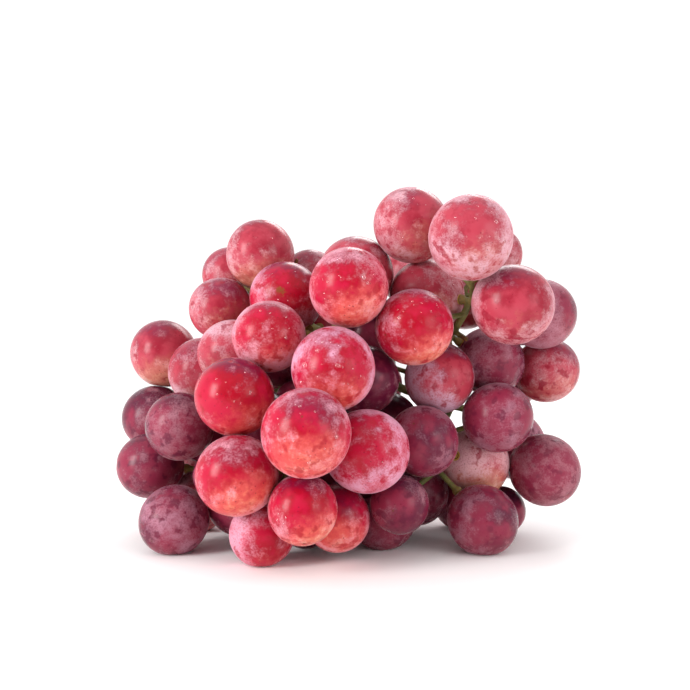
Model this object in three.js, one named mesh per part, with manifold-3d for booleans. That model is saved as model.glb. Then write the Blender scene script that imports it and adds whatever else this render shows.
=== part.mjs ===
// A bunch of large red table grapes lying on a surface, as picked, in millimetres.
// +X is to the right, +Y to the back and +Z up. The tail of the bunch points to the front, and the
// cut peduncle leaves at the back. The stem is one grown piece, and each berry is a piece of its own.
import * as THREE from "three";
import { mergeVertices } from "three/addons/utils/BufferGeometryUtils.js";
import Module from "manifold-3d";

const wasm = await Module();
wasm.setup();

// ---------- Driving dimensions ----------
const SKIN_GAP = 0.45; // between the skins of neighbouring berries
const PEDICEL_GAP = 0.35; // between a berry and the swollen end of its own pedicel
const PRESSED_FLAT = 0.4; // depth of the flat that a resting berry's own weight presses on it
const BERRY_STRETCH = 1.03; // a berry's length along its pedicel, over its diameter
const BERRY_SIDES = 10;
const BERRY_RINGS = 7;
const RESTING_REACH = 1; // a berry rests on the surface if its skin comes this close to it

const PEDICEL_RADIUS = 1.05;
const COLLAR_RADIUS = 2.1; // the swollen end, or receptacle, that holds the berry
const COLLAR_LENGTH = 2.6;
const COLLAR_FLARE = 0.7; // share of the collar's length over which it widens
const COLLAR_MOUTH = 0.8; // the radius at its very end, over its own
const STUB_WIDTHS = [[0, 1], [0.5, 0.9], [0.85, 1], [1, 0.6]]; // along a bare stub, over a pedicel's
const PEDICEL_SIDES = 5;
const PEDICEL_LINKS = 6;
const SHORTEST_PEDICEL = 5;
const BRANCH_SIDES = 5;
const MAIN_SIDES = 7;
const RING_SPACING = 9; // along a pedicel, between the rings of its solid
const CURVE_STEPS = 40; // frames along a curve, for laying a lathe on it
const STEM_CLEARANCE = 1.2; // between any part of the stem and a berry that it only passes

// ---------- How the places are found ----------
const SETTLING_PASSES = 400;
const HOMING = 0.06; // share of its way home that a berry drifts in the first pass
const BRANCH_PLACES = 24; // spaces between the places along a branch where a pedicel may start
const ROOT_PLACES = 2; // places at a branch's root where none does
const FIRST_FORK = 1; // the links of a pedicel where the next ones may fork from it
const LAST_FORK = 3;
const PEDICEL_PASSES = 80;
const PEDICEL_EASING_PASSES = 60; // of those, the ones in which it also straightens itself
const PEDICEL_EASING = 0.3;
const COST_OF_SHORTNESS = 5; // against 1 for each millimetre of a pedicel's length
const COST_OF_CROWDING = 4;

// ---------- The stem's branches ----------
// path is the centreline from where the branch starts, and radius its thickness at both ends.
// The first, the main axis, starts at the peduncle's cut end. The others start inside another branch.
const BRANCHES = {
  main: {
    path: [
      [32, 66, 96], [26, 52, 86], [18, 36, 75], [6, 16, 66], [-5, -4, 59], [-12, -24, 52], [-15, -48, 38],
    ],
    radius: [3.1, 1.5],
  },
  crown: { path: [[-5, -4, 59], [-10, -12, 70], [-6, -26, 77], [-3, -34, 80]], radius: [1.8, 1.3] },
  left_upper: { path: [[6, 16, 66], [-4, 14, 75], [-16, 14, 83], [-29, 15, 88]], radius: [2.0, 1.3] },
  left_lower: { path: [[-2, 2, 61], [-20, 11, 57], [-40, 19, 52], [-57, 21, 50]], radius: [2.0, 1.3] },
  left_floor: { path: [[-20, 11, 57], [-36, 6, 42], [-50, 4, 28]], radius: [1.6, 1.2] },
  right_upper: {
    path: [[18, 36, 75], [26, 20, 76], [34, 4, 77], [39, -10, 78], [42, -19, 83], [45, -24, 90]],
    radius: [2.1, 1.3],
  },
  right_crown: { path: [[34, 4, 77], [43, 4, 87], [47, 4, 96]], radius: [1.6, 1.2] },
  right_lower: { path: [[6, 16, 66], [22, 11, 57], [42, 9, 50], [60, 8, 46]], radius: [2.0, 1.3] },
  right_floor: { path: [[42, 9, 50], [36, -4, 40], [34, -14, 28]], radius: [1.6, 1.2] },
  belly: { path: [[-5, -4, 59], [-4, 4, 46], [2, 8, 33], [4, 8, 24]], radius: [1.8, 1.2] },
  back: { path: [[18, 34, 74], [20, 25, 62], [16, 20, 46]], radius: [1.8, 1.2] },
};

// Short bare stubs, where a berry aborted or came off, each from inside a branch to its dry tip.
const STUBS = [
  [[-20, 14, 85], [-21, 9, 96], [-19, 7, 108]],
  [[40, -14, 79], [43, -18, 77], [44, -22, 76]],
  [[42, 9, 50], [45, 6, 54], [47, 2, 56]],
  [[-40, 19, 52], [-38, 23, 48], [-36, 26, 46]],
  [[22, 44, 80], [18, 48, 82], [16, 53, 83]],
];

// ---------- The berries, by where they are in the bunch ----------
// Each is [x, y, z, diameter], about where it lies. settle() then lets them push each other apart.
const BERRIES = {
  tail: [
    [-12, -69, 47, 27.0], [-4, -51, 66, 26.8], [7, -50, 39, 26.8], [-36, -46, 56, 25.2],
    [-34, -53, 33, 25.6], [-15, -58, 22, 21.6], [-3, -40, 15, 21.8], [-28, -43, 10, 21.4],
  ],
  crown: [
    [2, -41, 93, 26.0], [24, -35, 79, 25.6], [-27, -35, 76, 24.0], [-21, -15, 91, 25.8], [4, -14, 100, 27.0],
  ],
  left_shoulder: [
    [-33, 3, 109, 25.6], [-47, 24, 102, 22.0], [-48, 1, 88, 23.2], [-14, 22, 99, 22.6], [-40, 28, 79, 26.0],
  ],
  left_wing: [
    [-42, -15, 71, 23.6], [-57, 6, 64, 25.8], [-73, 21, 69, 26.0], [-77, 19, 44, 25.0], [-75, 3, 28, 24.2],
    [-60, -24, 12, 24.0], [-40, -16, 16, 23.6], [-61, -15, 44, 24.0], [-50, 33, 56, 26.6],
    [-58, 32, 31, 26.6], [-60, 14, 12, 24.4],
  ],
  right_shoulder: [
    [24, -20, 114, 26.2], [42, -45, 110, 27.4], [58, 5, 109, 21.2], [58, -35, 88, 27.0], [31, -15, 93, 26.4],
    [72, -11, 85, 25.2], [70, 14, 87, 24.6], [27, 24, 103, 23.8], [50, 24, 93, 24.6],
  ],
  right_wing: [
    [54, -8, 68, 24.8], [77, 3, 64, 23.8], [34, -23, 61, 24.4], [47, -8, 30, 25.0], [75, -8, 27, 25.6],
    [28, -30, 43, 24.0], [54, -23, 48, 24.2], [49, -25, 12, 24.0], [48, 18, 12, 24.6], [67, 23, 60, 26.8],
    [68, 22, 34, 26.8],
  ],
  belly: [
    [14, -18, 12, 23.4], [-26, 22, 12, 24.6], [12, 24, 12, 24.4],
  ],
  back: [
    [39, 36, 57, 26.4], [10, 37, 56, 26.4], [-21, 35, 57, 26.6], [-11, 34, 82, 25.2],
    [-30, 33, 34, 26.4], [-1, 34, 34, 26.6], [34, 32, 34, 26.8],
  ],
};

// One berry has come off its pedicel and lies wedged between the others. Its scar looks this way.
const DROPPED = { name: "berry_right_wing_4", axis: [-0.64, -0.71, 0.3] };

// The skins' colours, which go from a clear red at the tail to a paler, bloomy pink at the shoulders.
const SKINS = {
  tail: { color: 0xb8253f, roughness: 0.34 },
  crown: { color: 0xc04a5c, roughness: 0.42 },
  left_shoulder: { color: 0xb4565f, roughness: 0.46 },
  left_wing: { color: 0xa84450, roughness: 0.46 },
  right_shoulder: { color: 0xbe6270, roughness: 0.5 },
  right_wing: { color: 0x8a4358, roughness: 0.5 },
  belly: { color: 0x7c3a50, roughness: 0.5 },
  back: { color: 0x9c4254, roughness: 0.48 },
};
const GREEN_STEM = { color: 0x83823f, roughness: 0.75 };

// ---------- Small geometry helpers ----------
const vector = ([x, y, z]) => new THREE.Vector3(x, y, z);

function solidOf(geometry) {
  const bare = new THREE.BufferGeometry();
  const source = geometry.index ? geometry.toNonIndexed() : geometry;
  bare.setAttribute("position", source.getAttribute("position"));
  const merged = mergeVertices(bare, 1e-4);
  const vertProperties = merged.attributes.position.array;
  const triVerts = new Uint32Array(merged.index.array);
  return new wasm.Manifold(new wasm.Mesh({ numProp: 3, vertProperties, triVerts }));
}

function geometryOf(solid) {
  const mesh = solid.getMesh();
  const geometry = new THREE.BufferGeometry();
  geometry.setAttribute("position", new THREE.BufferAttribute(mesh.vertProperties, mesh.numProp));
  geometry.setIndex(new THREE.BufferAttribute(mesh.triVerts, 1));
  return geometry;
}

function named(name, geometry, looks) {
  const mesh = new THREE.Mesh(geometry, new THREE.MeshStandardMaterial({ ...looks, metalness: 0 }));
  mesh.name = name;
  return mesh;
}

// A lathe whose straight axis is laid along a curve. rings is a list of [share of the length, radius].
function turnedAlong(curve, rings, sides) {
  const profile = [new THREE.Vector2(0, rings[0][0])];
  rings.forEach(([share, radius]) => profile.push(new THREE.Vector2(radius, share)));
  profile.push(new THREE.Vector2(0, rings.at(-1)[0]));
  const geometry = new THREE.LatheGeometry(profile, sides);
  const frames = curve.computeFrenetFrames(CURVE_STEPS, false);
  const position = geometry.getAttribute("position");
  for (let i = 0; i < position.count; i++) {
    const share = THREE.MathUtils.clamp(position.getY(i), 0, 1);
    const frame = Math.round(share * CURVE_STEPS);
    const point = curve.getPointAt(share);
    point.addScaledVector(frames.binormals[frame], position.getX(i));
    point.addScaledVector(frames.normals[frame], position.getZ(i));
    position.setXYZ(i, point.x, point.y, point.z);
  }
  return geometry;
}

const smoothCurve = (points) => new THREE.CatmullRomCurve3(points, false, "centripetal");

// count + 1 numbers, evenly from 0 to 1.
const evenShares = (count) => Array.from({ length: count + 1 }, (_, i) => i / count);

// ---------- Where everything lies ----------
const branches = Object.entries(BRANCHES).map(([name, { path, radius }]) => {
  const curve = smoothCurve(path.map(vector));
  const thickness = (share) => THREE.MathUtils.lerp(radius[0], radius[1], share);
  const places = evenShares(BRANCH_PLACES).map((share) => ({
    point: curve.getPointAt(share),
    thickness: thickness(share),
  }));
  return { name, curve, thickness, places, bends: path.length - 1 };
});

const berries = Object.entries(BERRIES).flatMap(([region, places]) =>
  places.map(([x, y, z, diameter], i) => ({
    name: `berry_${region}_${i + 1}`,
    region,
    home: new THREE.Vector3(x, y, z),
    centre: new THREE.Vector3(x, y, z),
    radius: diameter / 2,
  })),
);

// Two berries that are closer than their skins allow move apart, each by half of what is missing.
function pushApart(a, b) {
  const apart = b.centre.clone().sub(a.centre);
  const short = (a.radius + b.radius) * Math.sqrt(BERRY_STRETCH) + SKIN_GAP - apart.length();
  if (short <= 0) return;
  apart.setLength(short / 2);
  a.centre.sub(apart);
  b.centre.add(apart);
}

// Moves point away from centre until it is at least room from it.
function pushOff(point, centre, room) {
  const away = point.clone().sub(centre);
  const short = room - away.length();
  if (short > 0) point.add(away.setLength(short));
}

// Berries push each other apart, keep off the branches and the surface, and drift back to their places.
function settle() {
  const branchPlaces = branches.flatMap((branch) => branch.places);
  for (let pass = 0; pass < SETTLING_PASSES; pass++) {
    const pull = HOMING * (1 - pass / SETTLING_PASSES);
    for (const berry of berries) berry.centre.lerp(berry.home, pull);
    for (const [i, berry] of berries.entries()) {
      for (const other of berries.slice(i + 1)) pushApart(berry, other);
      for (const { point, thickness } of branchPlaces) {
        pushOff(berry.centre, point, berry.radius + thickness + STEM_CLEARANCE);
      }
      berry.centre.z = Math.max(berry.centre.z, berry.radius);
    }
  }
}

// The least distance from a berry's middle to the middle of a pedicel that passes it.
const passingRoom = (berry) => berry.radius + PEDICEL_RADIUS + STEM_CLEARANCE;

// How far the points of a chain are short of clearing every berry but the one that it leads to.
function crowding(points, berry) {
  let total = 0;
  for (const other of berries) {
    if (other === berry) continue;
    for (const point of points) total += Math.max(0, passingRoom(other) - point.distanceTo(other.centre));
  }
  return total;
}

// The straight chain to a berry from the start that makes it short, with the fewest berries in its way.
function straightChain(berry, starts) {
  let best = { cost: Infinity };
  for (const start of starts) {
    const away = start.clone().sub(berry.centre);
    const length = away.length() - berry.radius;
    const end = berry.centre.clone().add(away.setLength(berry.radius));
    const chain = evenShares(PEDICEL_LINKS).map((share) => start.clone().lerp(end, share));
    const tooShort = Math.max(0, SHORTEST_PEDICEL - length);
    const cost = length + COST_OF_SHORTNESS * tooShort + COST_OF_CROWDING * crowding(chain.slice(1), berry);
    if (cost < best.cost) best = { cost, chain };
  }
  return best.chain;
}

// A pedicel is a chain of links from the stem to its berry, pushed off each berry that it passes.
function routePedicel(berry, starts) {
  const chain = straightChain(berry, starts);
  const others = berries.filter((other) => other !== berry);
  for (let pass = 0; pass < PEDICEL_PASSES; pass++) {
    for (let i = 1; i < PEDICEL_LINKS; i++) {
      const between = chain[i - 1].clone().lerp(chain[i + 1], 0.5);
      if (pass < PEDICEL_EASING_PASSES) chain[i].lerp(between, PEDICEL_EASING);
      for (const other of others) pushOff(chain[i], other.centre, passingRoom(other));
    }
    const arrive = chain[PEDICEL_LINKS - 1].clone().sub(berry.centre);
    const reach = berry.radius * BERRY_STRETCH + PEDICEL_GAP;
    chain[PEDICEL_LINKS] = berry.centre.clone().add(arrive.setLength(reach));
  }
  berry.axis = chain[PEDICEL_LINKS].clone().sub(berry.centre).normalize();
  berry.pedicel = chain;
  starts.push(...chain.slice(FIRST_FORK, LAST_FORK + 1));
}

// The berries nearest to the branches are joined first, so that the others can fork from them.
function joinBerries() {
  const attached = berries.filter((berry) => berry.name !== DROPPED.name);
  const starts = branches.flatMap(({ places }) => places.slice(ROOT_PLACES).map(({ point }) => point));
  const nearest = (berry) => Math.min(...starts.map((point) => point.distanceTo(berry.centre)));
  const order = attached.map((berry) => ({ berry, reach: nearest(berry) }));
  order.sort((a, b) => a.reach - b.reach);
  for (const { berry } of order) routePedicel(berry, starts);
  berries.find((berry) => berry.name === DROPPED.name).axis = vector(DROPPED.axis).normalize();
  return attached;
}

settle();
const attached = joinBerries();

// ---------- Solids ----------
function pedicelSolid({ pedicel }) {
  const curve = smoothCurve(pedicel);
  const length = curve.getLength();
  const collar = COLLAR_LENGTH / length;
  const spans = Math.ceil(length / RING_SPACING);
  const shaft = evenShares(spans).map((share) => [share * (1 - collar), PEDICEL_RADIUS]);
  const swollen = [[1 - (1 - COLLAR_FLARE) * collar, COLLAR_RADIUS], [1, COLLAR_MOUTH * COLLAR_RADIUS]];
  return solidOf(turnedAlong(curve, [...shaft, ...swollen], PEDICEL_SIDES));
}

function stubSolid(path) {
  const rings = STUB_WIDTHS.map(([share, width]) => [share, width * PEDICEL_RADIUS]);
  return solidOf(turnedAlong(smoothCurve(path.map(vector)), rings, PEDICEL_SIDES));
}

function branchSolid({ name, curve, thickness, bends }) {
  const rings = evenShares(2 * bends).map((share) => [share, thickness(share)]);
  return solidOf(turnedAlong(curve, rings, name === "main" ? MAIN_SIDES : BRANCH_SIDES));
}

function stem() {
  const pieces = [...branches.map(branchSolid), ...attached.map(pedicelSolid), ...STUBS.map(stubSolid)];
  const whole = pieces.reduce((joined, piece) => joined.add(piece));
  return named("stem", geometryOf(whole), GREEN_STEM);
}

// Half an outline, from the far end to the pedicel's end, about the berry's long axis.
function berryProfile(radius) {
  return evenShares(BERRY_RINGS).map((share) => {
    const angle = Math.PI * (share - 0.5);
    const isEnd = share === 0 || share === 1;
    return new THREE.Vector2(isEnd ? 0 : radius * Math.cos(angle), radius * BERRY_STRETCH * Math.sin(angle));
  });
}

// Sets a berry on the surface, with the flat that its weight presses on it.
function pressedOnSurface(geometry) {
  geometry.computeBoundingBox();
  geometry.translate(0, 0, -geometry.boundingBox.min.z - PRESSED_FLAT);
  geometry.computeBoundingBox();
  const { min, max } = geometry.boundingBox;
  const below = new THREE.BoxGeometry(2 * (max.x - min.x), 2 * (max.y - min.y), 2 * PRESSED_FLAT);
  below.translate((min.x + max.x) / 2, (min.y + max.y) / 2, -PRESSED_FLAT);
  return geometryOf(solidOf(geometry).subtract(solidOf(below)));
}

// A berry is a slightly long lathe about its pedicel's axis.
function berryMesh({ name, region, centre, radius, axis }) {
  const geometry = new THREE.LatheGeometry(berryProfile(radius), BERRY_SIDES);
  geometry.applyQuaternion(new THREE.Quaternion().setFromUnitVectors(new THREE.Vector3(0, 1, 0), axis));
  geometry.translate(centre.x, centre.y, centre.z);
  const rests = centre.z < radius + RESTING_REACH;
  return named(name, rests ? pressedOnSurface(geometry) : geometry, SKINS[region]);
}

// ---------- The bunch, with its origin under the middle of it ----------
const bunch = new THREE.Group();
bunch.add(stem(), ...berries.map(berryMesh));
const box = new THREE.Box3().setFromObject(bunch, true);
bunch.position.set(-(box.min.x + box.max.x) / 2, -(box.min.y + box.max.y) / 2, -box.min.z);

export default bunch;
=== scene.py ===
"""A bunch of large red table grapes, lying as picked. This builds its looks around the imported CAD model.

Everything is in metres. +X is to the right, +Y to the back and +Z up, and the tail of the bunch
points to the front, at -Y. Each berry is a new mesh that stands for its CAD node, and the stem is
the CAD stem made smooth. The berries that only show between the others are made here.
"""

import math
import random

import bpy
import numpy as np
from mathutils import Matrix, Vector, noise
from mathutils.kdtree import KDTree


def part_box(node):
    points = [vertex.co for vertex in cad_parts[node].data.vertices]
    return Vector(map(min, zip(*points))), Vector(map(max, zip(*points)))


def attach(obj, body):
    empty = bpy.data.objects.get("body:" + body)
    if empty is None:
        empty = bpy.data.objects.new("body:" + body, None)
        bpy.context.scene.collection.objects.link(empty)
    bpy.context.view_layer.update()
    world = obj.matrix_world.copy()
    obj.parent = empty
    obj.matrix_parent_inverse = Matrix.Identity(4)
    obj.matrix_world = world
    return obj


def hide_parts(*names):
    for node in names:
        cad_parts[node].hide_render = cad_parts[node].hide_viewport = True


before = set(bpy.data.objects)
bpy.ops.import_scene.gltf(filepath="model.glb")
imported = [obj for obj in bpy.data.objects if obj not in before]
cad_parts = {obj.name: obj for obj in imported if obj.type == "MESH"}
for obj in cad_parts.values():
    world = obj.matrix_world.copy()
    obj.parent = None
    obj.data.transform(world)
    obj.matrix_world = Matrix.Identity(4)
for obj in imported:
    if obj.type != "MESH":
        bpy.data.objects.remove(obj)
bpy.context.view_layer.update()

MM = 0.001

# ---------- Shapes ----------
BERRY_SIDES = 48
BERRY_RINGS = 40
POLE_CROWDING = 0.55  # how much closer together the rings are at a berry's two ends
BERRY_STRETCH = 1.03  # a berry's length along its pedicel, over its width
BERRY_SWELL = 0.3 * MM  # how far a berry stands proud of its CAD solid, to touch its neighbours
LUMP_HEIGHT = 0.11 * MM
BERRY_LUMPS = ((75, 1.0), (260, 0.35))  # layers of noise: the spots to a metre, and a weight
TOUCH_SOFTNESS = 0.35 * MM  # how far round a contact the skin is eased flat
TIP_DENT = 0.22 * MM
TIP_DENT_WIDTH = 1.3 * MM
PEDICEL_DENT = 0.5 * MM
PEDICEL_DENT_WIDTH = 2.0 * MM

INNER_PITCH = 3 * MM  # spacing of the places where an inner berry is tried
INNER_LEAST_RADIUS = 8.5 * MM
INNER_MOST_RADIUS = 12.5 * MM
INNER_GAP = 0.5 * MM
INNER_STEM_GAP = 1.5 * MM
INNER_LEAST_COVER = 0.8  # share of the directions in which berries or the surface hide an inner one
LOOK_DIRECTIONS = 40  # in how many directions each place is looked out from
SURFACE_BELOW = -0.3  # a direction that falls more steeply than this meets the surface
EDGE_STEPS = 6  # places along each edge of the CAD stem, to measure distances from
PRESSED_FLAT = 0.05 * MM  # a CAD berry's points below this lie on its pressed flat, not on its ball
TO_THE_FRONT = np.array([0.0, -1.0, 0.0])
DOWN = np.array([0.0, 0.0, -1.0])

STEM_VOXEL = 0.42 * MM
STEM_SMOOTHING_STEPS = 7
STEM_SMOOTHING_FACTOR = 0.5
STEM_SWELL = 0.16 * MM  # gives back what the smoothing takes off
STEM_LUMP_HEIGHT = 0.22 * MM
STEM_LUMPS = ((350, 1.0), (900, 0.6))  # as BERRY_LUMPS
PLAIN_STEM_LUMPS = 0.45  # share of the lumps' height where the stem is neither a collar nor dry
PEDICEL_RADIUS = 1.0 * MM
PEDICEL_SIDES = 10
PEDICEL_STEPS = 8
ACROSS_PEDICELS = (0.3, 0.2, 1.0)  # a way that no inner pedicel lies along
COLLAR_RADIUS = 2.0 * MM
COLLAR_LENGTH = 2.4 * MM
COLLAR_FULL = 0.3  # share of a collar's length, next to its berry, that has its full width

# How far a collar, a dry tip and the brown cut end reach: whole up to the first, gone at the second.
COLLAR_REACH = (1.5 * MM, 4.0 * MM)
DRY_TIP_REACH = (1.5 * MM, 7 * MM)
CUT_END_REACH = (1.2 * MM, 3.2 * MM)

# The dry tips of the bare stubs, where a berry aborted or came off.
DRY_TIPS = (
    (-0.019, 0.0145, 0.108),
    (0.044, -0.0145, 0.076),
    (0.047, 0.0095, 0.056),
    (-0.036, 0.0335, 0.046),
    (0.016, 0.0605, 0.083),
)
DROPPED_BERRY = "berry_right_wing_4"  # it has come off its pedicel, and its scar looks to the front

# ---------- Looks ----------
# wax is how thick the bloom is, dark how much red the skin holds, paleness how much paler the lower,
# shaded side is, partly clear flesh showing through and partly a painted glow of light shining through the
# flesh, and violet how far the red leans to purple, all from 0 to 1. worn is the way the middle of the
# rubbed, redder patch looks; without one it looks out from the bunch.
REGION_LOOKS = {
    "tail": {"skin": "crimson", "wax": 0.45, "dark": 0.62, "pale_glow": 0.55, "violet": 0.1},
    "crown": {"skin": "crimson", "wax": 0.55, "dark": 0.55, "pale_glow": 0.5, "violet": 0.25},
    "left_shoulder": {"skin": "rose", "wax": 0.45, "dark": 0.6, "pale_glow": 0.6, "violet": 0.1},
    "left_wing": {"skin": "rose", "wax": 0.5, "dark": 0.6, "pale_glow": 0.45, "violet": 0.2},
    "right_shoulder": {"skin": "rose", "wax": 0.5, "dark": 0.55, "pale_glow": 0.5, "violet": 0.2},
    # The low berries at the right and underneath are darker and more purple, partly their own colour and
    # partly painted shade.
    "right_wing": {"skin": "purple", "wax": 0.55, "dark": 0.5, "pale_glow": 0.3, "violet": 0.6},
    "belly": {"skin": "purple", "wax": 0.5, "dark": 0.6, "pale_glow": 0.3, "violet": 0.5},
    "back": {"skin": "rose", "wax": 0.42, "dark": 0.7, "pale_glow": 0.45, "violet": 0.3},
    "inner": {"skin": "purple", "wax": 0.3, "dark": 0.8, "pale_glow": 0.2, "violet": 0.3},
}
BERRY_LOOKS = {
    "tail_1": {"wax": 0.62, "dark": 0.6, "pale_glow": 0.75, "worn": (0.05, -1.0, 0.05)},
    "tail_2": {"wax": 0.72, "dark": 0.6, "pale_glow": 0.8, "violet": 0.5, "worn": (0.15, -1.0, -0.1)},
    "tail_3": {"wax": 0.85, "dark": 0.55, "pale_glow": 0.4, "violet": 0.55, "worn": (-0.3, -0.9, 0.3)},
    "tail_4": {"wax": 0.3, "dark": 0.85, "pale_glow": 0.65, "violet": 0.0, "worn": (0.15, -0.9, 0.45)},
    "tail_5": {"wax": 0.5, "dark": 0.45, "pale_glow": 0.9, "violet": 0.0, "worn": (0.1, -1.0, -0.05)},
    "tail_6": {"wax": 0.35, "dark": 0.62, "pale_glow": 0.9, "violet": 0.0, "worn": (0.1, -0.8, 0.6)},
    "tail_7": {"wax": 0.45, "dark": 0.5, "pale_glow": 0.8, "violet": 0.0, "worn": (-0.2, -0.9, 0.3)},
    "tail_8": {"wax": 0.8, "dark": 0.6, "pale_glow": 0.4, "violet": 0.35, "worn": (0.5, -0.9, -0.3)},
    "crown_1": {"wax": 0.68, "dark": 0.5, "pale_glow": 0.8, "violet": 0.15, "worn": (-0.1, -1.0, -0.1)},
    "crown_2": {"wax": 0.55, "dark": 0.7, "pale_glow": 1.0, "violet": 0.2, "worn": (-0.05, -1.0, 0.05)},
    "crown_3": {"wax": 0.72, "dark": 0.55, "pale_glow": 0.7, "violet": 0.1, "worn": (0.1, -0.9, 0.3)},
    "crown_4": {"wax": 0.6, "dark": 0.8, "pale_glow": 0.3, "violet": 0.35, "worn": (0.35, -0.9, 0.35)},
    "crown_5": {"skin": "rose", "wax": 0.5, "dark": 0.6, "pale_glow": 0.4},
    "left_shoulder_1": {"wax": 0.5, "dark": 0.5, "pale_glow": 0.95, "worn": (0.2, -0.8, 0.6)},
    "left_shoulder_3": {"wax": 0.5, "dark": 0.8, "pale_glow": 0.5, "violet": 0.2, "worn": (0.4, -0.9, 0.1)},
    "left_wing_1": {"wax": 0.95, "dark": 0.3, "pale_glow": 0.5, "violet": 0.3, "worn": (-0.5, -0.9, -0.4)},
    "left_wing_2": {"wax": 0.85, "dark": 0.6, "pale_glow": 0.6, "violet": 0.3, "worn": (-0.4, -0.9, 0.3)},
    "left_wing_3": {"wax": 0.45, "dark": 0.6, "pale_glow": 0.95, "violet": 0.0, "worn": (0.1, -0.8, 0.6)},
    "left_wing_4": {"skin": "purple", "wax": 0.4, "dark": 0.7, "pale_glow": 0.3},
    "left_wing_5": {"skin": "purple", "wax": 0.3, "dark": 0.8, "pale_glow": 0.2},
    "left_wing_6": {"skin": "purple", "wax": 0.6, "dark": 0.6, "violet": 0.6},
    "left_wing_7": {"skin": "purple", "wax": 0.6, "dark": 0.6, "violet": 0.6},
    "left_wing_8": {"skin": "purple", "wax": 0.5, "dark": 0.7, "violet": 0.3},
    "right_shoulder_1": {"wax": 0.6, "dark": 0.6, "pale_glow": 0.45, "worn": (0.35, -0.9, 0.1)},
    "right_shoulder_2": {"wax": 0.95, "dark": 0.4, "pale_glow": 0.6, "violet": 0.3, "worn": (-0.2, -1.0, 0.15)},
    "right_shoulder_4": {"wax": 0.62, "dark": 0.75, "pale_glow": 0.35, "violet": 0.3, "worn": (0.0, -1.0, 0.2)},
    "right_shoulder_5": {"wax": 0.8, "dark": 0.2, "pale_glow": 0.9, "violet": 0.15, "worn": (-0.4, -0.9, 0.0)},
    "right_shoulder_6": {"skin": "purple", "wax": 0.75, "dark": 0.4, "pale_glow": 0.7, "violet": 0.4},
    "right_wing_1": {"wax": 0.55, "dark": 0.5, "violet": 0.5},
    "right_wing_2": {"skin": "rose", "wax": 0.34, "dark": 0.95, "pale_glow": 0.5, "violet": 0.2},
    "right_wing_3": {"skin": "rose", "wax": 0.72, "dark": 0.75, "pale_glow": 0.3, "violet": 0.9},
    "right_wing_4": {"skin": "rose", "wax": 0.95, "dark": 0.2, "pale_glow": 0.9, "violet": 0.0},
    "right_wing_5": {"wax": 0.55, "dark": 0.5, "pale_glow": 0.6, "violet": 0.1},
    "back_2": {"skin": "crimson", "wax": 0.5, "dark": 0.6, "pale_glow": 0.5},
    "back_5": {"skin": "crimson", "wax": 0.5, "dark": 0.6, "pale_glow": 0.5},
}
LOOK_JITTER = 0.08  # how far chance moves each of a berry's looks, either way

# The ways that the middles of a berry's pale side, where a glow of light through the flesh is painted, and
# of its sunny side look, and how far chance turns them and the worn patch. The pale side's and the sunny
# side's strays are shares of the worn patch's.
PALE_GLOW_WAY = (0.25, -0.35, -1.0)
SUNNY_WAY = (-0.1, 0.0, 1.0)
WORN_STRAY = 0.5
PALE_GLOW_STRAY = 0.6
SUNNY_STRAY = 0.8
# Each mask grows over this range of the cosine of the angle from its middle.
WORN_RANGE = (0.35, 1.0)
PALE_GLOW_RANGE = (0.0, 0.95)
DUSK_RANGE = (0.1, 0.95)
RIM_RANGE = (0.0, 0.9)
WAX_ALL_OVER = 0.8  # share of a berry's wax that lies all over it
WAX_AT_RIM = 0.15  # what is added away from the middle of its worn patch
WAX_WORN_OFF = 0.6  # share that is gone at the middle of its worn patch

# A netted, corky scar on the face of one berry, and the way that its middle looks.
RUSSET_BERRY = "berry_crown_4"
RUSSET_WAY = (-0.1, -1.0, 0.18)
NO_RUSSET = 1.0  # a distance in metres that no russet spreads over, for all the other berries

# Each skin's colours: the ripe red, the clear red of the worn patch, the darker side that had the sun,
# the flesh that shows through and the straw of its palest parts, partly clearer skin and partly a painted
# glow of light shining through the flesh on the pale side, and the bloom, which goes from the first colour
# to the second as the berry leans to violet.
SKINS = {
    "crimson": {
        "ripe": "b61236",
        "worn": "a0061f",
        "dusk": "740c34",
        "flesh_glow": "da5a52",
        "straw_glow": "eaa078",
        "bloom": ("e6a0ae", "cfa0c4"),
    },
    "rose": {
        "ripe": "b03c4c",
        "worn": "941c30",
        "dusk": "7c2440",
        "flesh_glow": "c87866",
        "straw_glow": "d8a27c",
        "bloom": ("deaab0", "c8a0b6"),
    },
    # The purple skin is darker, partly the low berries' own colour and partly painted shade.
    "purple": {
        "ripe": "882a42",
        "worn": "5e1430",
        "dusk": "46122c",
        "flesh_glow": "9c4c56",
        "straw_glow": "ac6a60",
        "bloom": ("b87c86", "aa748a"),
    },
}
SPECK_COLOUR = "6a1024"
RUSSET_COLOUR = "765426"
SCAR_COLOUR = "c9a04a"
SCAR_RING_COLOUR = "5c3418"
SHEEN_COLOUR = "f8ccd4"
STEM_GREENS = ("5e5c30", "827c48")
STEM_STREAK_COLOUR = "4c4a1c"
CORK_COLOUR = "8a6a34"
DRY_BROWNS = ("4a2c14", "8c5a2c")
DEW_TINTS = ("fbe4e8", "f6e8ee")
FLOOR_WHITES = ("fafafa", "fdfdfc")

# The skins' grains: noise from 0 to 1 whose spots are about this wide.
SKIN_GRAINS = {
    "blotches": {"size": 4.2 * MM, "detail": 2.5, "roughness": 0.55},
    "coarse": {"size": 9 * MM, "detail": 2.0, "roughness": 0.5},
    "middle": {"size": 3.2 * MM, "detail": 5.0, "roughness": 0.65},
    "fine": {"size": 0.6 * MM, "detail": 3.0, "roughness": 0.7},
}
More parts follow.
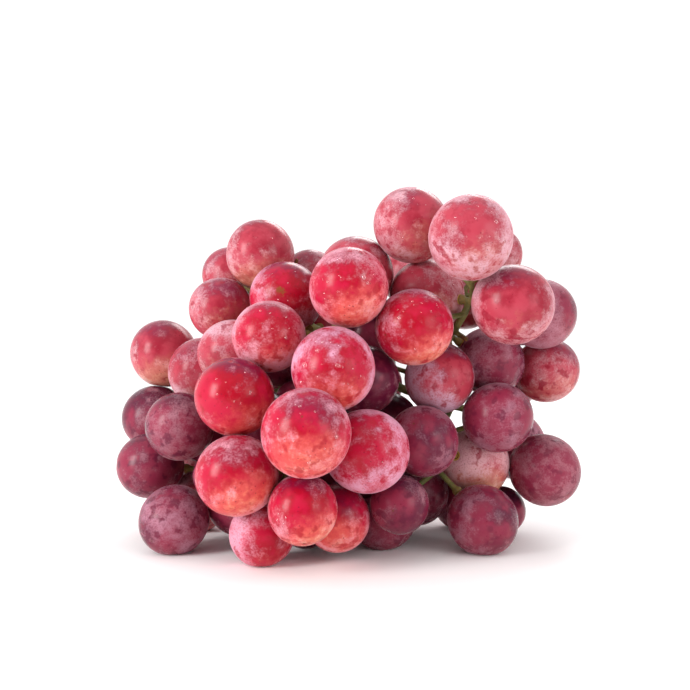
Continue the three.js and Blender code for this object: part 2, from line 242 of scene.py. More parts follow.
# A layer is its base plus its parts, each a grain or one of the berry's masks times a weight. It shows
# from the low end of its range, and up to its share at the high end.
# The pale side's mask and grains, which paint a glow of light shining through the flesh over clearer skin.
CLEAR_GLOW_PARTS = {"pale_glow": 1.1, "middle": 1.3, "coarse": 0.4, "fine": -0.2}
SKIN_LAYERS = {
    "worn": {
        "base": -1.4,
        "parts": {"coarse": 2.2, "middle": 0.9, "worn": 0.6},
        "range": (0.1, 0.7),
        "share": 1.0,
    },
    "dusk": {
        "base": -0.95,
        "parts": {"dusk": 1.0, "coarse": 1.1, "middle": 0.9},
        "range": (0.1, 0.9),
        "share": 1.0,
    },
    # flesh and straw are the pale side's painted glow of light through the flesh, over clearer skin
    "flesh_glow": {"base": -0.75, "parts": CLEAR_GLOW_PARTS, "range": (0.1, 1.0), "share": 0.9},
    "straw_glow": {"base": -0.75, "parts": CLEAR_GLOW_PARTS, "range": (0.75, 1.35), "share": 0.7},
}
VEIL_LAYER = {
    "base": -1.85,
    "parts": {"wax": 1.25, "coarse": 1.7, "middle": 1.3, "fine": 0.35, "blotches": -0.2},
    "range": (-0.05, 0.9),
    "share": 1.0,
}
RUBBED_RANGE = (0.55, 0.66)  # of the blotches
RUBBED_BLOOM_LOST = 0.7
BLOOM_GRAIN_RANGE = (0.44, 0.66)  # of the fine grain
BLOOM_GRAIN_IN_VEIL = 0.12  # what a thick veil adds to the grain
BLOOM_EVEN = 0.46  # how much the veil covers between its grains
BLOOM_GRAINED = 0.45  # how much more it covers on them

# Steps are a value's low and high ends, and what it turns into at each.
SKIN_ROUGHNESS_STEPS = (0.05, 0.6, 0.24, 0.6)  # of the bloom's cover
STREAK_STEPS = (0.5, 0.75, 0.0, 0.7)  # of the stem's fine grain, as are the next two
CORK_STEPS = (0.35, 0.6, 0.2, 0.9)
STEM_ROUGHNESS_STEPS = (0.3, 0.7, 0.5, 0.75)
DRY_STEPS = (0.2, 0.5, 0.6, 1.0)  # of its coarse grain
STEM_GREENS_RANGE = (0.35, 0.65)
DRY_BROWNS_RANGE = (0.35, 0.65)
STEM_COARSE_GRAIN = {"size": 5 * MM}
STEM_FINE_GRAIN = {"size": 0.9 * MM, "detail": 4.0, "roughness": 0.7}

PORE_SPACING = 1.7 * MM
PORE_EDGE = (0.11, 0.17)  # over the spacing
PORES_CHOSEN = (0.35, 0.5)  # pores whose random number is past this range show
PORE_STRENGTH = 0.6
SCAR_EDGE = (1.75 * MM, 2.05 * MM)
SCAR_RING_INSIDE = (0.8 * MM, 1.0 * MM)
SCAR_RING_OUTSIDE = (1.15 * MM, 1.4 * MM)
TIP_DOT_EDGE = (0.2 * MM, 0.6 * MM)
TIP_DOT_STRENGTH = 0.6
RUSSET_FRAYS = {"middle": 6 * MM, "fine": 5 * MM}  # how far each grain moves the russet's edge
RUSSET_EDGE = (6 * MM, 7.8 * MM)
RUSSET_STRENGTH = 0.75

# The larger drops of water: the berry, the way from its middle to the drop, and the drop's radius.
BIG_DROPS = (
    ("berry_tail_2", (-0.62, -0.75, 0.1), 1.15 * MM),
    ("berry_tail_2", (-0.35, -0.85, 0.45), 0.75 * MM),
    ("berry_tail_2", (-0.72, -0.65, -0.3), 0.9 * MM),
    ("berry_tail_2", (0.12, -1.0, 0.1), 1.0 * MM),
    ("berry_tail_1", (0.66, -0.75, 0.0), 0.75 * MM),
    ("berry_tail_1", (0.1, -0.85, -0.55), 0.65 * MM),
    ("berry_crown_1", (0.35, -0.9, 0.2), 1.15 * MM),
    ("berry_crown_1", (0.42, -0.85, 0.05), 0.65 * MM),
    ("berry_crown_3", (0.55, -0.85, -0.05), 0.8 * MM),
    ("berry_crown_2", (-0.45, -0.85, 0.2), 0.8 * MM),
    ("berry_tail_4", (0.5, -0.85, 0.15), 0.8 * MM),
    ("berry_right_shoulder_2", (0.45, -0.85, 0.25), 0.8 * MM),
)
# How many drops each berry has, large and small.
DEWY_BERRIES = {
    "berry_tail_1": 16,
    "berry_tail_2": 22,
    "berry_tail_3": 6,
    "berry_tail_4": 8,
    "berry_tail_6": 5,
    "berry_crown_1": 14,
    "berry_crown_2": 12,
    "berry_crown_3": 8,
    "berry_crown_4": 8,
    "berry_right_shoulder_1": 8,
    "berry_right_shoulder_2": 10,
    "berry_right_shoulder_5": 8,
    "berry_left_shoulder_1": 5,
}
SMALL_DROP_RADII = (0.22 * MM, 0.5 * MM)
SMALL_DROP_SIDEWAYS = (-0.9, 0.9)  # small drops lie to the front, spread over these ranges of X and Z
SMALL_DROP_UPWARD = (-0.7, 1.0)
DROP_FLATNESS = 0.75  # a drop's height over its radius
DROP_SINK = 0.12  # how deep its middle lies in the skin, over its radius
DROP_WIDENING = (0.85, 1.15)
DROP_SIDES = 14
DROP_RINGS = 8

# ---------- Studio ----------
CAMERA_PLACE = (0.0, -0.3375, 0.074)
CAMERA_LENS = 46.7  # millimetres, as is the next
CAMERA_SENSOR = 36
CAMERA_NEAR = 0.01
CAMERA_FAR = 30
SKY = 1.12  # the white sky's strength, which the camera sees all round
DIM_SKY = 0.35  # the light from the low front, dim so that the skins show their own red, not a haze
SKY_RANGE = (-0.8, 0.1)  # the light goes from dim to full over this range of a direction's Y plus Z
FLOOR_RADIUS = 6.0
FLOOR_SIDES = 64
FLOOR_PATCHES = 0.4  # how wide the floor's faint spots are
LIGHTS_AIM = (0, 0, 0.06)
# Each lamp's place, width and height, and watts.
SOFTBOXES = {
    "window_left": ((-0.67, -0.47, 0.3), (0.26, 0.42), 5.7),
    "fill_right": ((0.6, -0.55, 0.25), (0.4, 0.4), 1.8),
    "back_top": ((0.25, 0.7, 0.7), (0.6, 0.3), 3.0),
}


# ---------- Small helpers ----------
def colour(code):
    """The linear colour of a six-digit sRGB code, with full alpha."""
    shares = [int(code[i : i + 2], 16) / 255 for i in (0, 2, 4)]
    linear = [s / 12.92 if s <= 0.04045 else ((s + 0.055) / 1.055) ** 2.4 for s in shares]
    return (*linear, 1.0)


def unit(vector):
    vector = np.asarray(vector, float)
    return vector / np.linalg.norm(vector)


def eased(values, low, high):
    """0 below low, 1 above high, and a smooth step between them."""
    t = np.clip((values - low) / (high - low), 0, 1)
    return t * t * (3 - 2 * t)


def vertex_array(mesh):
    points = np.empty(3 * len(mesh.vertices))
    mesh.vertices.foreach_get("co", points)
    return points.reshape(-1, 3)


def turned_to(directions, axis):
    """Directions about +Z, turned so that +Z lies along axis."""
    turn = Vector(axis).to_track_quat("Z", "Y").to_matrix()
    return directions @ np.array(turn).T


def add_object(name, mesh):
    piece = bpy.data.objects.new(name, mesh)
    bpy.context.scene.collection.objects.link(piece)
    return piece


def new_mesh(name, points, faces):
    mesh = bpy.data.meshes.new(name)
    mesh.from_pydata([tuple(point) for point in points], [], faces)
    mesh.shade_smooth()
    return mesh


def add_attributes(mesh, attributes):
    """Gives each point of the mesh the values that its material reads."""
    for name, values in attributes.items():
        layer = mesh.attributes.new(name, "FLOAT", "POINT")
        layer.data.foreach_set("value", np.asarray(values, np.float32))


def noise_at(points, layers):
    """At each point, the sum of the noise layers, each with its weight."""
    return np.array(
        [sum(weight * noise.noise(Vector(point * scale)) for scale, weight in layers) for point in points]
    )


def round_grid(sides, rings, crowding=0.0):
    """A unit sphere about +Z as directions and faces, with its rings closer together at the poles."""
    shares = np.arange(1, rings) / rings
    polar = math.pi * (shares - crowding * np.sin(2 * math.pi * shares) / (2 * math.pi))
    turns = 2 * math.pi * np.arange(sides) / sides
    polar_grid, turn_grid = np.meshgrid(polar, turns, indexing="ij")
    widths = np.sin(polar_grid)
    around = np.stack(
        [widths * np.cos(turn_grid), widths * np.sin(turn_grid), np.cos(polar_grid)], axis=-1
    )
    directions = np.vstack([[0, 0, 1], around.reshape(-1, 3), [0, 0, -1]])
    last = len(directions) - 1
    faces = []
    for side in range(sides):
        beside = (side + 1) % sides
        faces.append((0, 1 + side, 1 + beside))
        for ring in range(rings - 2):
            upper = 1 + ring * sides
            lower = upper + sides
            faces.append((upper + side, lower + side, lower + beside, upper + beside))
        bottom = 1 + (rings - 2) * sides
        faces.append((last, bottom + beside, bottom + side))
    return directions, faces


# ---------- What the CAD model says ----------
def fitted_sphere(points):
    """The centre and the radius of the sphere that lies nearest to the points."""
    rows = np.hstack([2 * points, np.ones((len(points), 1))])
    answer = np.linalg.lstsq(rows, (points**2).sum(axis=1), rcond=None)[0]
    centre = answer[:3]
    return centre, math.sqrt(answer[3] + centre @ centre)


def stem_places():
    """A search tree of points close together all over the CAD stem."""
    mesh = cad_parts["stem"].data
    points = vertex_array(mesh)
    edges = np.array([edge.vertices[:] for edge in mesh.edges])
    shares = np.arange(EDGE_STEPS)[:, None, None] / EDGE_STEPS
    starts, ends = points[edges[:, 0]], points[edges[:, 1]]
    return search_tree((starts + shares * (ends - starts)).reshape(-1, 3))


def search_tree(points):
    tree = KDTree(len(points))
    for index, point in enumerate(points):
        tree.insert(point, index)
    tree.balance()
    return tree


def nearest_distance(places, tree):
    """How far each place is from the nearest point of a search tree."""
    return np.array([tree.find(place)[2] for place in places])


def berry_from(name, stem):
    """A CAD berry's centre, radius and the way its pedicel lies, from its solid."""
    points = vertex_array(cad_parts[name].data)
    centre, radius = fitted_sphere(points[points[:, 2] > PRESSED_FLAT])
    reach = np.linalg.norm(points - centre, axis=1)
    axis = unit(points[reach.argmax()] - centre)
    if name == DROPPED_BERRY:
        axis = axis if axis @ TO_THE_FRONT > 0 else -axis
    else:
        ends = [centre + way * radius * axis for way in (1, -1)]
        near, far = nearest_distance(ends, stem)
        axis = axis if near < far else -axis
    return {"name": name, "centre": centre, "radius": radius + BERRY_SWELL, "axis": axis}


def looking_ways():
    """Directions spread evenly over a sphere."""
    heights = 1 - (2 * np.arange(LOOK_DIRECTIONS) + 1) / LOOK_DIRECTIONS
    golden_angle = math.pi * (3 - math.sqrt(5))
    turns = golden_angle * np.arange(LOOK_DIRECTIONS)
    widths = np.sqrt(1 - heights**2)
    return np.stack([widths * np.cos(turns), widths * np.sin(turns), heights], axis=-1)


def cover(places, centres, radii):
    """The share of the directions from each place in which a berry, or the surface below, lies."""
    away = centres - places[:, None]
    squared = (away**2).sum(axis=2)
    covered = np.zeros(len(places))
    for way in looking_ways():
        ahead = away @ way
        hit = (ahead > 0) & (squared - ahead**2 < radii**2)
        covered += hit.any(axis=1) | (way[2] < SURFACE_BELOW)
    return covered / LOOK_DIRECTIONS


def inner_berries(outer, stem):
    """Berries that fill the room inside the bunch, the largest first, none of them in another."""
    centres = np.array([berry["centre"] for berry in outer])
    radii = np.array([berry["radius"] for berry in outer])
    lowest, highest = centres.min(axis=0), centres.max(axis=0)
    axes = [np.arange(low, high, INNER_PITCH) for low, high in zip(lowest, highest)]
    places = np.stack(np.meshgrid(*axes, indexing="ij"), axis=-1).reshape(-1, 3)

    def room(some):
        """How large a berry can be at each place, clear of the others and above the surface."""
        gaps = np.linalg.norm(some[:, None] - centres, axis=2) - radii
        return np.minimum(gaps.min(axis=1) - INNER_GAP, some[:, 2])

    places = places[room(places) > INNER_LEAST_RADIUS]
    from_stem = nearest_distance(places, stem) - INNER_STEM_GAP
    places = places[from_stem > INNER_LEAST_RADIUS]
    from_stem = from_stem[from_stem > INNER_LEAST_RADIUS]
    hidden = cover(places, centres, radii) > INNER_LEAST_COVER
    places, from_stem = places[hidden], from_stem[hidden]
    found = []
    while True:
        free = np.minimum(room(places), from_stem)
        best = free.argmax()
        if free[best] < INNER_LEAST_RADIUS:
            return found
        radius = min(free[best], INNER_MOST_RADIUS)
        place = places[best]
        root = np.array(stem.find(place)[0])
        name = f"inner_berry_{len(found) + 1}"
        axis = unit(root - place)
        found.append({"name": name, "centre": place, "radius": radius, "axis": axis, "root": root})
        centres = np.vstack([centres, place])
        radii = np.append(radii, radius)


# ---------- Berries ----------
def look_of(berry, chance):
    """The berry's own look: its region's, with what is said of it alone, and a little chance."""
    label = berry["name"].removeprefix("berry_")
    region = "inner" if label.startswith("inner") else label.rpartition("_")[0]
    look = {**REGION_LOOKS[region], **BERRY_LOOKS.get(label, {})}
    for key in ("wax", "dark", "pale_glow", "violet"):
        look[key] = min(1.0, max(0.0, look[key] + chance.uniform(-LOOK_JITTER, LOOK_JITTER)))
    return look


def pressed(points, place, outward):
    """Points that reach past a plane, or nearly so, are eased back to it."""
    past = np.maximum((points - place) @ outward + TOUCH_SOFTNESS, 0)
    kept = TOUCH_SOFTNESS * np.tanh(past / TOUCH_SOFTNESS)
    return points - np.outer(past - kept, outward)


def berry_points(berry, berries, directions):
    """The berry's skin: long, a little lumpy, dented at its tip, and at its stem end if it has come off,
    and flat where it is touched.
    """
    centre, radius, axis = berry["centre"], berry["radius"], berry["axis"]
    ways = turned_to(directions, axis)
    long = directions * [1, 1, BERRY_STRETCH]
    points = turned_to(long, axis) * radius
    from_stem_end = radius * np.linalg.norm(directions - [0, 0, 1], axis=1)
    from_tip = radius * np.linalg.norm(directions + [0, 0, 1], axis=1)
    rise = LUMP_HEIGHT * noise_at(points + centre, BERRY_LUMPS)
    rise -= TIP_DENT * np.exp(-((from_tip / TIP_DENT_WIDTH) ** 2))
    if berry["name"] == DROPPED_BERRY:
        rise -= PEDICEL_DENT * np.exp(-((from_stem_end / PEDICEL_DENT_WIDTH) ** 2))
    points = centre + points + ways * rise[:, None]
    for other in berries:
        apart = other["centre"] - centre
        distance = np.linalg.norm(apart)
        if other is berry or distance > (radius + other["radius"]) * BERRY_STRETCH + 2 * TOUCH_SOFTNESS:
            continue
        outward = apart / distance
        middle = centre + outward * (distance + radius - other["radius"]) / 2
        points = pressed(points, middle, outward)
    return pressed(points, np.zeros(3), DOWN), from_stem_end, from_tip


def skin_masks(berry, look, points, middle, chance):
    """Where the skin is worn, darkened by the sun, pale with a painted glow through the flesh, and thick
    with bloom, each from 0 to 1.
    """
    ways = (points - berry["centre"]) / berry["radius"]
    stray = np.array([chance.uniform(-WORN_STRAY, WORN_STRAY) for _ in range(3)])
    worn_way = unit(look["worn"]) if "worn" in look else unit(unit(berry["centre"] - middle) + stray)
    pale_glow_way = unit(np.array(PALE_GLOW_WAY) + PALE_GLOW_STRAY * stray)
    sunny_way = unit(np.array(SUNNY_WAY) + SUNNY_STRAY * stray[::-1])
    worn = eased(ways @ worn_way, *WORN_RANGE)
    # the pale side: partly clearer skin, partly a painted glow of light shining through the flesh
    pale_glow = eased(ways @ pale_glow_way, *PALE_GLOW_RANGE) * look["pale_glow"]
    dusk = eased(ways @ sunny_way, *DUSK_RANGE) * look["dark"]
    rim = 1 - eased(ways @ worn_way, *RIM_RANGE)
    wax = look["wax"] * (WAX_ALL_OVER + WAX_AT_RIM * rim) * (1 - WAX_WORN_OFF * worn)
    return {"worn": worn * look["dark"], "dusk": dusk, "pale_glow": pale_glow, "wax": np.clip(wax, 0, 1)}


def build_berry(berry, berries, middle, grid, skins):
    """A berry as a piece of its own, in place of its CAD node if it has one."""
    chance = random.Random(berry["name"])
    look = look_of(berry, chance)
    directions, faces = grid
    points, from_stem_end, from_tip = berry_points(berry, berries, directions)
    russet = np.full(len(points), NO_RUSSET)
    if berry["name"] == RUSSET_BERRY:
        heart = berry["centre"] + unit(RUSSET_WAY) * berry["radius"]
        russet = np.linalg.norm(points - heart, axis=1)
    attributes = {
        **skin_masks(berry, look, points, middle, chance),
        "violet": np.full(len(points), look["violet"]),
        "dark": np.full(len(points), look["dark"]),
        "from_stem_end": from_stem_end,
        "from_tip": from_tip,
        "from_russet": russet,
    }
    name = berry["name"].replace("berry", "grape")
    mesh = new_mesh(name, points, faces)
    add_attributes(mesh, attributes)
    mesh.materials.append(skins[look["skin"]])
    piece = add_object(name, mesh)
    if berry["name"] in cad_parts:
        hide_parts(berry["name"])
    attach(piece, "root")


# ---------- Stem ----------
def pedicel_end(berry):
    """Where the berry's pedicel meets it."""
    return berry["centre"] + berry["axis"] * berry["radius"] * BERRY_STRETCH


def pedicel_tube(start, end):
    """A short round pedicel that ends in its swollen collar, as points and faces."""
    along = end - start
    length = np.linalg.norm(along)
    sideways = unit(np.cross(along, ACROSS_PEDICELS))
    upward = unit(np.cross(sideways, along))
    points, faces = [], []
    for step in range(PEDICEL_STEPS + 1):
        share = step / PEDICEL_STEPS
        swollen = eased(share * length, length - COLLAR_LENGTH, length - COLLAR_FULL * COLLAR_LENGTH)
        radius = PEDICEL_RADIUS + (COLLAR_RADIUS - PEDICEL_RADIUS) * swollen
        middle = start + share * along
        for side in range(PEDICEL_SIDES):
            turn = 2 * math.pi * side / PEDICEL_SIDES
            points.append(middle + radius * (math.cos(turn) * sideways + math.sin(turn) * upward))
    for step in range(PEDICEL_STEPS):
        first = step * PEDICEL_SIDES
        for side in range(PEDICEL_SIDES):
            near = first + side
            beside = first + (side + 1) % PEDICEL_SIDES
            faces.append((near, beside, beside + PEDICEL_SIDES, near + PEDICEL_SIDES))
    first = PEDICEL_STEPS * PEDICEL_SIDES
    faces.append(tuple(reversed(range(PEDICEL_SIDES))))
    faces.append(tuple(range(first, first + PEDICEL_SIDES)))
    return points, faces


def rough_stem(inner):
    """The CAD stem with the inner berries' pedicels, not yet joined into one surface."""
    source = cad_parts["stem"].data
    points = list(vertex_array(source))
    faces = [tuple(face.vertices) for face in source.polygons]
    for berry in inner:
        tube_points, tube_faces = pedicel_tube(berry["root"], pedicel_end(berry))
        first = len(points)
        points += tube_points
        faces += [tuple(first + i for i in face) for face in tube_faces]
    return add_object("rough_stem", new_mesh("rough_stem", points, faces))


def remeshed(piece):
    """The piece's surface as one even, smoothed mesh."""
    remesh = piece.modifiers.new("one_surface", "REMESH")
    remesh.mode = "VOXEL"
    remesh.voxel_size = STEM_VOXEL
    smooth = piece.modifiers.new("smooth", "SMOOTH")
    smooth.factor = STEM_SMOOTHING_FACTOR
    smooth.iterations = STEM_SMOOTHING_STEPS
    shown = piece.evaluated_get(bpy.context.evaluated_depsgraph_get())
    mesh = bpy.data.meshes.new_from_object(shown)
    bpy.data.objects.remove(piece)
    return mesh


def stem_masks(points, berries):
    """How near each point is to a collar, to a dry tip and to the cut end, each from 0 to 1."""
    collars = [pedicel_end(berry) for berry in berries]
    near_collar = 1 - eased(nearest_distance(points, search_tree(collars)), *COLLAR_REACH)
    near_tip = 1 - eased(nearest_distance(points, search_tree(DRY_TIPS)), *DRY_TIP_REACH)
    from_back_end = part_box("stem")[1].y - points[:, 1]
    near_cut = 1 - eased(from_back_end, *CUT_END_REACH)
    return near_collar, near_tip, near_cut


def build_stem(berries, inner, material):
    """The stem with a collar at each of these berries, in place of its CAD node."""
    mesh = remeshed(rough_stem(inner))
    points = vertex_array(mesh)
    normals = np.empty(3 * len(points))
    mesh.vertex_normals.foreach_get("vector", normals)
    near_collar, near_tip, near_cut = stem_masks(points, berries)
    lumpy = PLAIN_STEM_LUMPS + (1 - PLAIN_STEM_LUMPS) * np.maximum(near_collar, near_tip)
    rise = STEM_SWELL + STEM_LUMP_HEIGHT * noise_at(points, STEM_LUMPS) * lumpy
    points += normals.reshape(-1, 3) * rise[:, None]
    mesh.vertices.foreach_set("co", points.ravel())
    add_attributes(mesh, {"collar": near_collar, "dry": np.maximum(near_tip, near_cut)})
    mesh.shade_smooth()
    mesh.update()
    mesh.materials.clear()
    mesh.materials.append(material)
    piece = add_object("grown_stem", mesh)
    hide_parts("stem")
    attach(piece, "root")


# ---------- Dew ----------
def drop_points(berry, way, radius, directions, chance):
    """One flattened drop on a berry's skin."""
    way = unit(way)
    along = berry["axis"] @ way
    reach = berry["radius"] * (1 + (BERRY_STRETCH - 1) * along**2)
    heart = berry["centre"] + way * (reach - DROP_SINK * radius)
    wide = chance.uniform(*DROP_WIDENING)
    shape = directions * [wide, 1 / wide, DROP_FLATNESS] * radius
    return heart + turned_to(shape, way)


def build_dew(berries, material):
    """Each dewy berry's drops as one piece."""
    directions, drop_faces = round_grid(DROP_SIDES, DROP_RINGS)
    by_name = {berry["name"]: berry for berry in berries}
    for name, count in DEWY_BERRIES.items():
        berry = by_name[name]
        chance = random.Random(name + " dew")
        drops = [(way, radius) for owner, way, radius in BIG_DROPS if owner == name]
        while len(drops) < count:
            sideways = chance.uniform(*SMALL_DROP_SIDEWAYS)
            upward = chance.uniform(*SMALL_DROP_UPWARD)
            drops.append(((sideways, -1.0, upward), chance.uniform(*SMALL_DROP_RADII)))
        points, faces = [], []
        for way, radius in drops:
            first = len(points)
            points += list(drop_points(berry, way, radius, directions, chance))
            faces += [tuple(first + i for i in face) for face in drop_faces]
        piece = add_object(f"dew_{name}", new_mesh(f"dew_{name}", points, faces))
        piece.data.materials.append(material)
        piece.visible_shadow = False  # clear water lets the light on to the skin below it
        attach(piece, "root")


# ---------- Materials ----------
def node(tree, kind, inputs=None, **settings):
    """Adds a node, sets it, and links or sets its inputs."""
    made = tree.nodes.new(kind)
    for key, value in settings.items():
        setattr(made, key, value)
    for socket, value in (inputs or {}).items():
        if isinstance(value, bpy.types.NodeSocket):
            tree.links.new(value, made.inputs[socket])
        else:
            made.inputs[socket].default_value = value
    return made


def set_inputs(shader, values):
    for socket, value in values.items():
        shader.inputs[socket].default_value = value


def new_material(name):
    """A material with a Principled shader: the material, its node tree and the shader."""
    material = bpy.data.materials.new(name)
    material.use_nodes = True
    tree = material.node_tree
    tree.nodes.clear()
    shader = node(tree, "ShaderNodeBsdfPrincipled")
    out = node(tree, "ShaderNodeOutputMaterial")
    tree.links.new(shader.outputs["BSDF"], out.inputs["Surface"])
    return material, tree, shader


def object_place(tree):
    return node(tree, "ShaderNodeTexCoord").outputs["Object"]


def value_of(tree, attribute):
    return node(tree, "ShaderNodeAttribute", attribute_name=attribute).outputs["Fac"]


def grain(tree, where, size, detail=3.0, roughness=0.6):
    """Noise from 0 to 1 whose spots are about this wide, in metres."""
    inputs = {"Vector": where, "Scale": 1 / size, "Detail": detail, "Roughness": roughness}
    return node(tree, "ShaderNodeTexNoise", inputs).outputs["Fac"]


def math_of(tree, operation, first, second):
    made = node(tree, "ShaderNodeMath", {0: first, 1: second}, operation=operation)
    return made.outputs[0]


def stepped(tree, value, low, high, to_low=0.0, to_high=1.0):
    """A smooth step from to_low, where the value is low, to to_high."""
    inputs = {"Value": value, "From Min": low, "From Max": high, "To Min": to_low, "To Max": to_high}
    made = node(tree, "ShaderNodeMapRange", inputs, interpolation_type="SMOOTHSTEP")
    return made.outputs["Result"]


def mixed(tree, share, first, second):
    """The first colour with this share of the second."""
    made = node(tree, "ShaderNodeMix", data_type="RGBA")
    for socket, value in (("Factor_Float", share), ("A_Color", first), ("B_Color", second)):
        target = next(s for s in made.inputs if s.identifier == socket)
        if isinstance(value, bpy.types.NodeSocket):
            tree.links.new(value, target)
        else:
            target.default_value = value
    return next(s for s in made.outputs if s.identifier == "Result_Color")


def weighed(tree, base, *parts):
    """base plus each (value, weight)."""
    total = base
    for value, weight in parts:
        total = math_of(tree, "ADD", math_of(tree, "MULTIPLY", value, weight), total)
    return total


def add_bumps(tree, shader, height, strength, distance):
    inputs = {"Height": height, "Strength": strength, "Distance": distance}
    bumps = node(tree, "ShaderNodeBump", inputs)
    tree.links.new(bumps.outputs["Normal"], shader.inputs["Normal"])


def rubbed_patches(tree, grains):
    """Small patches, a few millimetres wide, where the bloom has come off the redder skin."""
    return stepped(tree, grains["blotches"], *RUBBED_RANGE)


def layer_share(tree, layer, grains):
    """How much of a layer shows, from 0 to its share."""
    parts = [
        (grains[name] if name in grains else value_of(tree, name), weight)
        for name, weight in layer["parts"].items()
    ]
    return stepped(tree, weighed(tree, layer["base"], *parts), *layer["range"], 0.0, layer["share"])


def skin_colour(tree, palette, grains):
    """The colour of a berry's skin under its bloom, with a painted glow of light through the flesh on its
    pale side.
    """
    skin = colour(palette["ripe"])
    for name, layer in SKIN_LAYERS.items():
        skin = mixed(tree, layer_share(tree, layer, grains), skin, colour(palette[name]))
    blotch = math_of(tree, "MULTIPLY", rubbed_patches(tree, grains), value_of(tree, "dark"))
    return mixed(tree, blotch, skin, colour(palette["worn"]))


def wax_cover(tree, grains):
    """How much of the skin the bloom covers: a veil with rubbed patches in it, set with fine grains."""
    veil = layer_share(tree, VEIL_LAYER, grains)
    left = weighed(tree, 1.0, (rubbed_patches(tree, grains), -RUBBED_BLOOM_LOST))
    veil = math_of(tree, "MULTIPLY", veil, left)
    speckle = weighed(tree, 0.0, (grains["fine"], 1.0), (veil, BLOOM_GRAIN_IN_VEIL))
    share = weighed(tree, BLOOM_EVEN, (stepped(tree, speckle, *BLOOM_GRAIN_RANGE), BLOOM_GRAINED))
    return math_of(tree, "MULTIPLY", veil, share)


def with_specks(tree, where, skin):
    """Tiny dark pores on the skin."""
    pores = node(tree, "ShaderNodeTexVoronoi", {"Vector": where, "Scale": 1 / PORE_SPACING})
    near = stepped(tree, pores.outputs["Distance"], *PORE_EDGE, 1.0, 0.0)
    chosen = node(tree, "ShaderNodeSeparateColor", {"Color": pores.outputs["Color"]})
    some = stepped(tree, chosen.outputs["Red"], *PORES_CHOSEN)
    share = math_of(tree, "MULTIPLY", math_of(tree, "MULTIPLY", near, some), PORE_STRENGTH)
    return mixed(tree, share, skin, colour(SPECK_COLOUR))


def with_scars(tree, skin, grains):
    """The pedicel's ring scar, the dot at the tip, and the corky net on one berry."""
    from_stem_end = value_of(tree, "from_stem_end")
    disc = stepped(tree, from_stem_end, *SCAR_EDGE, 1.0, 0.0)
    skin = mixed(tree, disc, skin, colour(SCAR_COLOUR))
    past_inside = stepped(tree, from_stem_end, *SCAR_RING_INSIDE)
    before_outside = stepped(tree, from_stem_end, *SCAR_RING_OUTSIDE, 1.0, 0.0)
    ring = math_of(tree, "MULTIPLY", past_inside, before_outside)
    skin = mixed(tree, ring, skin, colour(SCAR_RING_COLOUR))
    tip = stepped(tree, value_of(tree, "from_tip"), *TIP_DOT_EDGE, TIP_DOT_STRENGTH, 0.0)
    skin = mixed(tree, tip, skin, colour(SCAR_RING_COLOUR))
    frays = [(grains[name], reach) for name, reach in RUSSET_FRAYS.items()]
    frayed = weighed(tree, value_of(tree, "from_russet"), *frays)
    net = stepped(tree, frayed, *RUSSET_EDGE, RUSSET_STRENGTH, 0.0)
    return mixed(tree, net, skin, colour(RUSSET_COLOUR))


def skin_material(name, palette):
    material, tree, shader = new_material(f"skin_{name}")
    where = object_place(tree)
    grains = {name: grain(tree, where, **spots) for name, spots in SKIN_GRAINS.items()}
    pink_bloom, violet_bloom = [colour(code) for code in palette["bloom"]]
    bloom = mixed(tree, value_of(tree, "violet"), pink_bloom, violet_bloom)
    wax = wax_cover(tree, grains)
    skin = mixed(tree, wax, skin_colour(tree, palette, grains), bloom)
    skin = with_specks(tree, where, skin)
    skin = with_scars(tree, skin, grains)
    tree.links.new(skin, shader.inputs["Base Color"])
    tree.links.new(stepped(tree, wax, *SKIN_ROUGHNESS_STEPS), shader.inputs["Roughness"])
    add_bumps(tree, shader, grains["fine"], 0.25, 0.06 * MM)
    settings = {
        "Specular IOR Level": 0.2,
        "Subsurface Weight": 0.12,
        "Subsurface Radius": (1.0, 0.2, 0.16),
        "Subsurface Scale": 2.5 * MM,
        "Sheen Weight": 0.4,
        "Sheen Roughness": 0.16,
        "Sheen Tint": colour(SHEEN_COLOUR),
    }
    set_inputs(shader, settings)
    return material


def stem_material():
    """Streaked green, corky at the collars, and brown where it is dry."""
    material, tree, shader = new_material("green_stem")
    where = object_place(tree)
    coarse = grain(tree, where, **STEM_COARSE_GRAIN)
    fine = grain(tree, where, **STEM_FINE_GRAIN)
    dull_green, light_green = [colour(code) for code in STEM_GREENS]
    dark_brown, light_brown = [colour(code) for code in DRY_BROWNS]
    green = mixed(tree, stepped(tree, coarse, *STEM_GREENS_RANGE), dull_green, light_green)
    green = mixed(tree, stepped(tree, fine, *STREAK_STEPS), green, colour(STEM_STREAK_COLOUR))
    corky = math_of(tree, "MULTIPLY", value_of(tree, "collar"), stepped(tree, fine, *CORK_STEPS))
    green = mixed(tree, corky, green, colour(CORK_COLOUR))
    dry = math_of(tree, "MULTIPLY", value_of(tree, "dry"), stepped(tree, coarse, *DRY_STEPS))
    brown = mixed(tree, stepped(tree, fine, *DRY_BROWNS_RANGE), dark_brown, light_brown)
    tree.links.new(mixed(tree, dry, green, brown), shader.inputs["Base Color"])
    tree.links.new(stepped(tree, fine, *STEM_ROUGHNESS_STEPS), shader.inputs["Roughness"])
    add_bumps(tree, shader, fine, 0.5, 0.15 * MM)
    settings = {
        "Specular IOR Level": 0.35,
        "Subsurface Weight": 0.12,
        "Subsurface Scale": 1 * MM,
    }
    set_inputs(shader, settings)
    return material


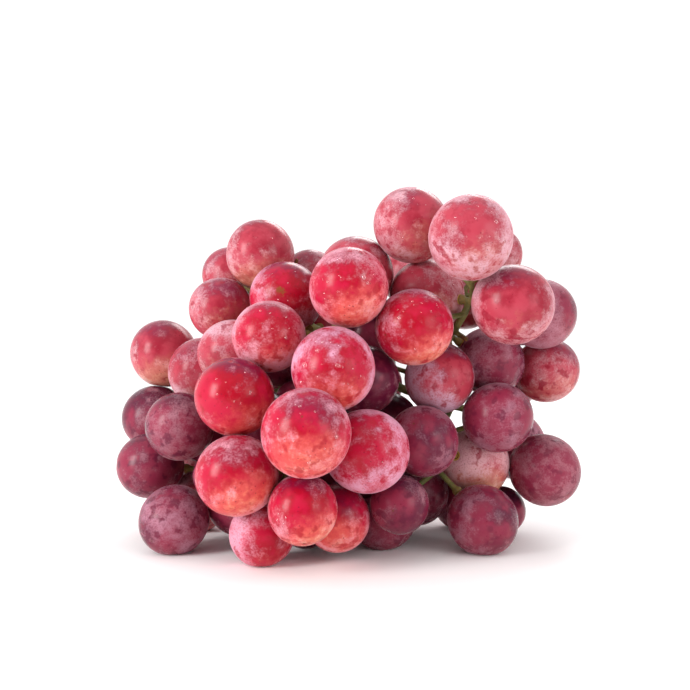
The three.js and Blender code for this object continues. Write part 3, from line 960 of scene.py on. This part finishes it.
def dew_material():
    """Clear water, with a coat that gives each drop its glint."""
    material, tree, shader = new_material("dew")
    first, second = [colour(code) for code in DEW_TINTS]
    clear = mixed(tree, grain(tree, object_place(tree), 1 * MM), first, second)
    tree.links.new(clear, shader.inputs["Base Color"])
    settings = {
        "Roughness": 0.03,
        "IOR": 1.33,
        "Transmission Weight": 1.0,
        "Coat Weight": 1.0,
        "Coat Roughness": 0.06,
        "Coat IOR": 1.9,
    }
    set_inputs(shader, settings)
    return material


def floor_material():
    material, tree, shader = new_material("studio_floor")
    first, second = [colour(code) for code in FLOOR_WHITES]
    shade = mixed(tree, grain(tree, object_place(tree), FLOOR_PATCHES), first, second)
    tree.links.new(shade, shader.inputs["Base Color"])
    set_inputs(shader, {"Roughness": 0.9, "Specular IOR Level": 0.1})
    return material


# ---------- Studio ----------
def build_floor():
    turns = [2 * math.pi * side / FLOOR_SIDES for side in range(FLOOR_SIDES)]
    rim = [(FLOOR_RADIUS * math.cos(turn), FLOOR_RADIUS * math.sin(turn), 0) for turn in turns]
    floor = add_object("studio_floor", new_mesh("studio_floor", rim, [tuple(range(FLOOR_SIDES))]))
    floor.data.materials.append(floor_material())


def add_softbox(name, place, size, watts):
    light = bpy.data.lights.new(name, "AREA")
    light.shape = "RECTANGLE"
    light.size, light.size_y = size
    light.energy = watts
    lamp = bpy.data.objects.new(name, light)
    bpy.context.scene.collection.objects.link(lamp)
    lamp.location = place
    lamp.rotation_euler = (Vector(LIGHTS_AIM) - Vector(place)).to_track_quat("-Z", "Y").to_euler()


def add_sky():
    """A white sky that gives less light from the low front, though the camera sees it all the same."""
    world = bpy.data.worlds.new("studio")
    world.use_nodes = True
    tree = world.node_tree
    background = tree.nodes["Background"]
    background.inputs["Color"].default_value = (1, 1, 1, 1)
    coordinates = node(tree, "ShaderNodeTexCoord")
    way = node(tree, "ShaderNodeSeparateXYZ", {"Vector": coordinates.outputs["Generated"]})
    high_or_back = math_of(tree, "ADD", way.outputs["Y"], way.outputs["Z"])
    lit_by = stepped(tree, high_or_back, *SKY_RANGE, DIM_SKY, SKY)
    seen = math_of(tree, "MULTIPLY", node(tree, "ShaderNodeLightPath").outputs["Is Camera Ray"], SKY)
    tree.links.new(math_of(tree, "MAXIMUM", lit_by, seen), background.inputs["Strength"])
    bpy.context.scene.world = world


def light_studio():
    add_sky()
    for name, (place, size, watts) in SOFTBOXES.items():
        add_softbox(name, place, size, watts)
    bpy.context.scene.view_settings.view_transform = "Standard"


def add_camera():
    camera = bpy.data.objects.new("camera", bpy.data.cameras.new("camera"))
    bpy.context.scene.collection.objects.link(camera)
    camera.location = CAMERA_PLACE
    camera.rotation_euler = (math.pi / 2, 0, 0)
    camera.data.lens = CAMERA_LENS
    camera.data.sensor_width = CAMERA_SENSOR
    camera.data.clip_start = CAMERA_NEAR
    camera.data.clip_end = CAMERA_FAR
    bpy.context.scene.camera = camera


# ---------- The bunch ----------
def build_bunch():
    stem = stem_places()
    outer = [berry_from(name, stem) for name in sorted(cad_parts) if name != "stem"]
    inner = inner_berries(outer, stem)
    berries = outer + inner
    middle = np.mean([berry["centre"] for berry in outer], axis=0)
    skins = {name: skin_material(name, palette) for name, palette in SKINS.items()}
    grid = round_grid(BERRY_SIDES, BERRY_RINGS, POLE_CROWDING)
    for berry in berries:
        build_berry(berry, berries, middle, grid, skins)
    attached = [berry for berry in berries if berry["name"] != DROPPED_BERRY]
    build_stem(attached, inner, stem_material())
    build_dew(outer, dew_material())
    print(len(outer), "outer berries and", len(inner), "inner ones")


add_camera()
build_bunch()
build_floor()
light_studio()
